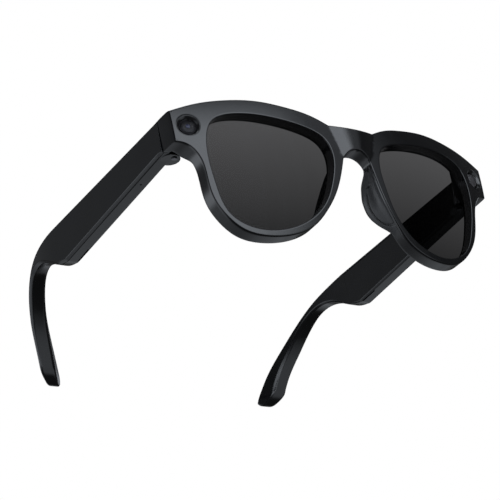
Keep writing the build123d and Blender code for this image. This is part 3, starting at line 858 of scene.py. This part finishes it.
def cavity(name, mirrored):
    """Cutting form: the room for the electronics, open towards the outer cover."""
    corners = [(26.5, 31.7), (98.0, 27.9), (102.0, 29.2), (102.0, 50.0), (26.5, 50.0)]
    loop = chain(*[straight(a, b, 3.0) for a, b in zip(corners, corners[1:] + corners[:1])])
    return slab(name, mirrored, loop, (0.5, TEMPLE_THICK - SHELL_WALL))


def temple_pieces(side):
    """Outer cover with ear tip, and inner shell with the hinge lobe."""
    mirrored = side == "right"

    def cut(target, form):
        return combine(target, form, "DIFFERENCE", TEMPLE_SHARP)

    def knuckle_room():
        return post("cut", HINGE[0], HINGE[1], KNUCKLE_LOW, 43.0, 2.25, mirrored, lean=HINGE_LEAN)

    cover = temple_form(f"outer_cover_{side}", mirrored)
    cover = cut(cover, inner_block("cut", mirrored, 0.24))
    cover = cut(cover, knuckle_room())
    shell = temple_form(f"inner_shell_{side}", mirrored)
    shell = combine(shell, inner_block("cut", mirrored, 0.0), "INTERSECT", TEMPLE_SHARP)
    shell = cut(shell, cavity("cut", mirrored))
    lobe = post("lobe", 67.9, 24.0, 30.42, 31.6, 3.9, mirrored, edge=0.12)
    shell = combine(shell, lobe, "UNION", TEMPLE_SHARP)
    shell = cut(shell, knuckle_room())
    # bore of the hinge screw, loudspeaker slot and microphone pinhole
    shell = cut(shell, post("cut", HINGE[0], HINGE[1], 28.0, KNUCKLE_LOW, 0.38, mirrored, lean=HINGE_LEAN))
    shell = cut(shell, block("cut", (69.3, 70.0), (88.4, 97.6), (20.0, 28.6), mirrored))
    shell = cut(shell, post("cut", 70.8, 41.7, 20.0, 31.0, 0.42, mirrored, segments=24))
    # opening of the capture button on the right, of the power switch on the left
    if mirrored:
        cover = cut(cover, capsule("cut", 70.7, 36.0, (42.5, 46.0), 10.0, 2.6, mirrored))
    else:
        shell = cut(shell, block("cut", (66.0, 69.1), (35.3, 40.5), (36.3, 38.7), mirrored))
    return cover, shell


# ---------------------------------------------------------------- materials

def nodes_of(name):
    """New material, its node tree, its shader and a coordinate source that moves with the piece."""
    material = bpy.data.materials.new(name)
    material.use_nodes = True
    tree = material.node_tree
    shader = tree.nodes["Principled BSDF"]
    coordinates = tree.nodes.new("ShaderNodeTexCoord")
    return material, tree, shader, coordinates.outputs["Object"]


def noise(tree, source, scale, detail=4.0, stretch=(1.0, 1.0, 1.0)):
    """Noise of the given scale per metre, optionally drawn out along an axis."""
    mapping = tree.nodes.new("ShaderNodeMapping")
    mapping.inputs["Scale"].default_value = stretch
    tree.links.new(source, mapping.inputs["Vector"])
    texture = tree.nodes.new("ShaderNodeTexNoise")
    texture.inputs["Scale"].default_value = scale
    texture.inputs["Detail"].default_value = detail
    tree.links.new(mapping.outputs["Vector"], texture.inputs["Vector"])
    return texture.outputs["Fac"]


def spread(tree, value, low, high, to_low, to_high):
    """Value mapped from one range to another."""
    node = tree.nodes.new("ShaderNodeMapRange")
    for socket, number in zip(("From Min", "From Max", "To Min", "To Max"), (low, high, to_low, to_high)):
        node.inputs[socket].default_value = number
    tree.links.new(value, node.inputs["Value"])
    return node.outputs["Result"]


def blend_colours(tree, share, first, second):
    node = tree.nodes.new("ShaderNodeMix")
    node.data_type = "RGBA"
    node.inputs["A"].default_value = (*first, 1.0)
    node.inputs["B"].default_value = (*second, 1.0)
    tree.links.new(share, node.inputs["Factor"])
    return node.outputs["Result"]


def relief(tree, shader, height, distance, strength):
    """Bump of the given depth in metres."""
    bump = tree.nodes.new("ShaderNodeBump")
    bump.inputs["Distance"].default_value = distance
    bump.inputs["Strength"].default_value = strength
    tree.links.new(height, bump.inputs["Height"])
    tree.links.new(bump.outputs["Normal"], shader.inputs["Normal"])


def moulded(name, dark, light, rough, grain, coat=0.0):
    """Moulded plastic: slow colour drift, handling marks in the roughness, and a fine grain."""
    material, tree, shader, source = nodes_of(name)
    drift = noise(tree, source, 60.0, 3.0)
    tree.links.new(blend_colours(tree, spread(tree, drift, 0.3, 0.7, 0.0, 1.0), dark, light),
                   shader.inputs["Base Color"])
    marks = noise(tree, source, 220.0, 8.0, (1.0, 0.35, 1.0))
    tree.links.new(spread(tree, marks, 0.35, 0.7, rough[0], rough[1]), shader.inputs["Roughness"])
    relief(tree, shader, noise(tree, source, 5200.0, 2.0), 0.00001, grain)
    shader.inputs["IOR"].default_value = 1.5
    shader.inputs["Coat Weight"].default_value = coat
    shader.inputs["Coat Roughness"].default_value = 0.06
    return material


def metal(name, colour, rough, stretch):
    """Satin metal with brushing along one axis."""
    material, tree, shader, source = nodes_of(name)
    shader.inputs["Metallic"].default_value = 1.0
    tone = noise(tree, source, 400.0, 4.0)
    darker = tuple(0.78 * c for c in colour)
    tree.links.new(blend_colours(tree, tone, darker, colour), shader.inputs["Base Color"])
    lines = noise(tree, source, 3000.0, 3.0, stretch)
    tree.links.new(spread(tree, lines, 0.3, 0.7, rough - 0.08, rough + 0.12), shader.inputs["Roughness"])
    relief(tree, shader, lines, 0.00001, 0.25)
    return material


def clear_glass(name, colour, rough=0.0, ior=1.5):
    """Clear or tinted glass with faint wiping marks in its gloss."""
    material, tree, shader, source = nodes_of(name)
    shader.inputs["Base Color"].default_value = (*colour, 1.0)
    shader.inputs["Transmission Weight"].default_value = 1.0
    shader.inputs["IOR"].default_value = ior
    wipes = noise(tree, source, 180.0, 6.0, (0.3, 1.0, 1.0))
    tree.links.new(spread(tree, wipes, 0.45, 0.75, rough, rough + 0.03), shader.inputs["Roughness"])
    return material


def sun_glass():
    """Dark grey lens, its colour darker towards its lower edge and lighter towards its top."""
    material, tree, shader, source = nodes_of("tinted_lens")
    split = tree.nodes.new("ShaderNodeSeparateXYZ")
    tree.links.new(source, split.inputs["Vector"])
    low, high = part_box("lens_left")
    share = spread(tree, split.outputs["Z"], low.z, high.z, 0.0, 1.0)
    tree.links.new(blend_colours(tree, share, (0.019, 0.019, 0.0195), (0.075, 0.075, 0.077)),
                   shader.inputs["Base Color"])
    shader.inputs["Transmission Weight"].default_value = 1.0
    shader.inputs["IOR"].default_value = 1.07
    wipes = noise(tree, source, 120.0, 6.0, (0.3, 1.0, 1.0))
    tree.links.new(spread(tree, wipes, 0.45, 0.8, 0.0, 0.02), shader.inputs["Roughness"])
    return material


def board_green():
    """Solder mask over copper tracks."""
    material, tree, shader, source = nodes_of("circuit_board")
    tracks = tree.nodes.new("ShaderNodeTexBrick")
    tracks.inputs["Scale"].default_value = 900.0
    tracks.inputs["Color1"].default_value = (0.016, 0.090, 0.050, 1.0)
    tracks.inputs["Color2"].default_value = (0.022, 0.120, 0.066, 1.0)
    tracks.inputs["Mortar"].default_value = (0.060, 0.230, 0.110, 1.0)
    tree.links.new(source, tracks.inputs["Vector"])
    tree.links.new(tracks.outputs["Color"], shader.inputs["Base Color"])
    relief(tree, shader, tracks.outputs["Fac"], 0.00003, 0.4)
    shader.inputs["Roughness"].default_value = 0.35
    return material


def make_materials():
    """One finish for each material slot of the record, with satin pads and black hinge screws."""
    return {
        "frame_black": moulded("frame_black", (0.0032, 0.0034, 0.0040), (0.0046, 0.0048, 0.0055),
                               (0.16, 0.22), 0.02),
        "pad_satin": moulded("pad_satin", (0.0150, 0.0155, 0.0168), (0.0180, 0.0186, 0.0200),
                             (0.36, 0.42), 0.05),
        "screw_black": metal("screw_black", (0.14, 0.14, 0.15), 0.36, (1.0, 1.0, 1.0)),
        "trim_black": moulded("trim_black", (0.0050, 0.0050, 0.0055), (0.0075, 0.0075, 0.0080),
                              (0.05, 0.10), 0.02),
        "tinted_lens": sun_glass(),
        "clear_window": clear_glass("clear_window", (0.20, 0.20, 0.23), 0.0, 1.18),
        "camera_glass": moulded("camera_glass", (0.010, 0.022, 0.090), (0.016, 0.034, 0.150),
                                (0.10, 0.16), 0.05, 0.4),
        "barrel_black": moulded("barrel_black", (0.010, 0.010, 0.011), (0.016, 0.016, 0.017),
                                (0.38, 0.50), 0.4),
        "chip_black": moulded("chip_black", (0.018, 0.018, 0.019), (0.030, 0.030, 0.031),
                              (0.50, 0.62), 0.6),
        "circuit_board": board_green(),
        "emitter_white": moulded("emitter_white", (0.12, 0.12, 0.11), (0.15, 0.15, 0.14),
                                 (0.40, 0.50), 0.2),
        "flex_amber": moulded("flex_amber", (0.36, 0.16, 0.030), (0.46, 0.22, 0.045),
                              (0.25, 0.34), 0.2),
        "hinge_steel": metal("hinge_steel", (0.56, 0.56, 0.57), 0.28, (1.0, 1.0, 0.08)),
        "contact_brass": metal("contact_brass", (0.80, 0.62, 0.30), 0.22, (1.0, 0.1, 1.0)),
        "cell_wrap": moulded("cell_wrap", (0.26, 0.27, 0.29), (0.34, 0.35, 0.37),
                             (0.34, 0.46), 0.5),
        "speaker_black": moulded("speaker_black", (0.020, 0.020, 0.022), (0.034, 0.034, 0.036),
                                 (0.45, 0.60), 0.6),
        "mesh_steel": metal("mesh_steel", (0.16, 0.16, 0.17), 0.40, (1.0, 1.0, 1.0)),
    }


def dress(piece, materials, slot):
    piece.data.materials.clear()
    piece.data.materials.append(materials[slot])


# ---------------------------------------------------------------- stage

def area_light(name, towards, size, radiance, colour=(0.86, 0.92, 1.0)):
    """Soft panel facing the glasses, made of nested layers so that its edge fades."""
    middle = (cad_box[0] + cad_box[1]) / 2
    way = Vector(towards).normalized()
    for layer, (share, grow) in enumerate(PANEL_LAYERS):
        data = bpy.data.lights.new(f"{name}_{layer}", "AREA")
        data.shape = "RECTANGLE"
        data.size, data.size_y = size[0] * grow * PANEL_DISTANCE, size[1] * grow * PANEL_DISTANCE
        data.energy = radiance * share * math.pi * data.size * data.size_y
        data.color = colour
        lamp = bpy.data.objects.new(data.name, data)
        lamp.location = middle + way * PANEL_DISTANCE * (1.0 + PANEL_STEP * layer)
        lamp.rotation_mode = "QUATERNION"
        lamp.rotation_quaternion = way.to_track_quat("Z", "Y")
        bpy.context.scene.collection.objects.link(lamp)


def make_stage():
    """Pale floor seen from above only, a white surround and soft panels."""
    mesh = bpy.data.meshes.new("floor")
    corners = [(-1, -1), (1, -1), (1, 1), (-1, 1)]
    mesh.from_pydata([(a * FLOOR_HALF, b * FLOOR_HALF, FLOOR_LEVEL) for a, b in corners], [], [(0, 1, 2, 3)])
    floor = bpy.data.objects.new("floor", mesh)
    bpy.context.scene.collection.objects.link(floor)
    floor.visible_shadow = False
    floor.visible_glossy = False
    floor.visible_diffuse = False
    material, tree, shader, source = nodes_of("floor_pale")
    shade = noise(tree, source, 3.0, 2.0)
    greys = blend_colours(tree, shade, (0.30, 0.30, 0.30), (0.32, 0.32, 0.32))
    tree.links.new(greys, shader.inputs["Base Color"])
    shader.inputs["Roughness"].default_value = 0.7
    shader.inputs["Specular IOR Level"].default_value = 0.0
    shader.inputs["Emission Color"].default_value = (1.0, 1.0, 1.0, 1.0)
    shader.inputs["Emission Strength"].default_value = FLOOR_GLOW
    geometry = tree.nodes.new("ShaderNodeNewGeometry")
    clear = tree.nodes.new("ShaderNodeBsdfTransparent")
    mix = tree.nodes.new("ShaderNodeMixShader")
    tree.links.new(geometry.outputs["Backfacing"], mix.inputs["Fac"])
    tree.links.new(shader.outputs["BSDF"], mix.inputs[1])
    tree.links.new(clear.outputs["BSDF"], mix.inputs[2])
    tree.links.new(mix.outputs["Shader"], tree.nodes["Material Output"].inputs["Surface"])
    mesh.materials.append(material)

    world = bpy.data.worlds.new("studio")
    bpy.context.scene.world = world
    world.use_nodes = True
    tree = world.node_tree
    background = tree.nodes["Background"]
    background.inputs["Color"].default_value = (1.0, 1.0, 1.0, 1.0)
    path = tree.nodes.new("ShaderNodeLightPath")
    seen = tree.nodes.new("ShaderNodeMath")
    seen.operation = "MAXIMUM"
    tree.links.new(path.outputs["Is Camera Ray"], seen.inputs[0])
    tree.links.new(path.outputs["Is Transmission Ray"], seen.inputs[1])
    tree.links.new(spread(tree, seen.outputs["Value"], 0.0, 1.0, 0.06, 1.0), background.inputs["Strength"])

    area_light("key", (-0.09, -0.94, 0.25), (0.86, 1.02), 3.45)
    area_light("key_edge", (0.45, -0.76, 0.45), (0.55, 0.82), 0.47)
    area_light("front_low", (0.52, -0.78, -0.29), (0.64, 0.64), 0.78)
    area_light("far_side", (0.85, 0.35, 0.40), (0.45, 0.45), 1.02)
    area_light("side", (-0.93, 0.20, -0.24), (1.18, 1.09), 1.31)
    area_light("rear_high", (-0.55, 0.74, 0.40), (1.00, 0.91), 0.10)
    area_light("rear_low", (0.08, 0.80, -0.45), (1.91, 0.82), 0.51)
    area_light("top", (0.0, 0.10, 1.0), (0.82, 0.82), 1.57)
    area_light("rear_side", (-0.72, 0.66, -0.05), (0.45, 0.36), 1.5)
    bpy.context.scene.view_settings.view_transform = "Standard"


def make_camera():
    """Camera low at the front on the wearer's right, looking up."""
    data = bpy.data.cameras.new("camera")
    data.sensor_width = 36.0
    data.lens = CAMERA_LENS
    data.clip_start, data.clip_end = 0.05, 50.0
    camera = bpy.data.objects.new("camera", data)
    place, aim = (Vector(point) for point in to_row([CAMERA_PLACE, CAMERA_AIM]))
    up = Vector(to_row([(0.0, 0.0, 1000.0)])[0] - to_row([(0.0, 0.0, 0.0)])[0])
    ahead = (aim - place).normalized()
    right = Quaternion(ahead, CAMERA_ROLL) @ ahead.cross(up).normalized()
    turn = Matrix((right, right.cross(ahead), -ahead)).transposed()
    camera.matrix_world = Matrix.Translation(place) @ turn.to_4x4()
    bpy.context.scene.collection.objects.link(camera)
    bpy.context.scene.camera = camera


# ---------------------------------------------------------------- assembly

materials = make_materials()
for row in frame["record"]["subparts"]:
    finish = "screw_black" if row["node"].startswith("hinge_screw") else row["material_slot"]
    dress(frame["nodes"][row["node"]], materials, finish)


def settle(piece, body, slot, *nodes, finish=None):
    """Gives a new piece its finish and the body it rides on, and hides the CAD nodes it stands for."""
    dress(piece, materials, finish or slot)
    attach(piece, body)
    if nodes:
        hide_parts(*nodes)
    return piece


settle(front_shell(), "front", "frame_black", "front_frame")
settle(rear_cover(), "front", "frame_black", "rear_cover")
for side, sign in (("left", 1.0), ("right", -1.0)):
    settle(lens(sign), "front", "tinted_lens", f"lens_{side}")
    settle(nose_pad(sign), "front", "frame_black", f"nose_pad_{side}", finish="pad_satin")
    cover, shell = temple_pieces(side)
    settle(cover, f"temple_{side}", "frame_black", f"temple_cover_{side}")
    settle(shell, f"temple_{side}", "frame_black", f"temple_shell_{side}")
# The ribbon stays just below the capture button's flange at full press
ribbon = block("hinge_ribbon_right", (69.4, 69.7), (26.6, 31.0), (40.4, 41.6), True)
settle(ribbon, "temple_right", "flex_amber", "hinge_cable_right")
eye = eye_pieces(-1.0, "camera_eye")
for piece, slot, nodes in zip(eye, ("trim_black", "clear_window", "barrel_black", "camera_glass"),
                              (("camera_ring",), ("camera_window",), ("camera_barrel",), ("camera_lens",))):
    settle(piece, "front", slot, *nodes)
eye = eye_pieces(1.0, "status_eye")
for piece, slot, nodes in zip(eye, ("trim_black", "clear_window", "barrel_black", "emitter_white"),
                              (("status_light_ring",), ("status_light_window",), (),
                               ("status_light_diffuser",))):
    settle(piece, "front", slot, *nodes)

make_stage()
make_camera()
